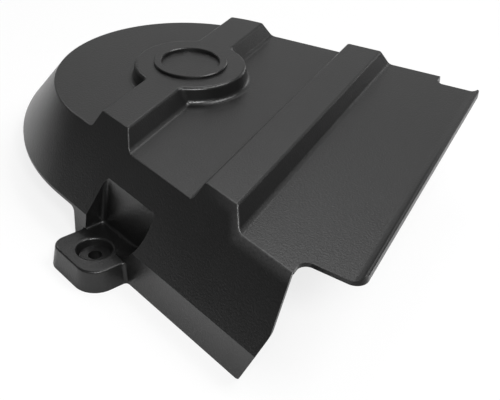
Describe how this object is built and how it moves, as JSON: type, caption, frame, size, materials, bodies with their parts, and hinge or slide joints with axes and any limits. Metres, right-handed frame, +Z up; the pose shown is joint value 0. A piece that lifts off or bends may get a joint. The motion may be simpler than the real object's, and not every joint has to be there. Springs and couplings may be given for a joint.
{
  "type": "pulley cover",
  "caption": "Moulded plastic cover for engine pulleys: thin shell with a round end, flared walls, ribs, a ringed boss, a screw ear and an upturned lip.",
  "frame": {"origin": "middle of the bounding box in X and Y, at the base the walls and the ear stand on", "axes": "+Z up from the base to the plate, +X from the round end to the lip, +Y from the screw ear to the straight wall"},
  "size_m": [0.2622, 0.2512, 0.0665],
  "materials": {
    "cover": "satin, fine grain"
  },
  "bodies": {
    "root": {"cover": "cover"}
  },
  "joints": []
}
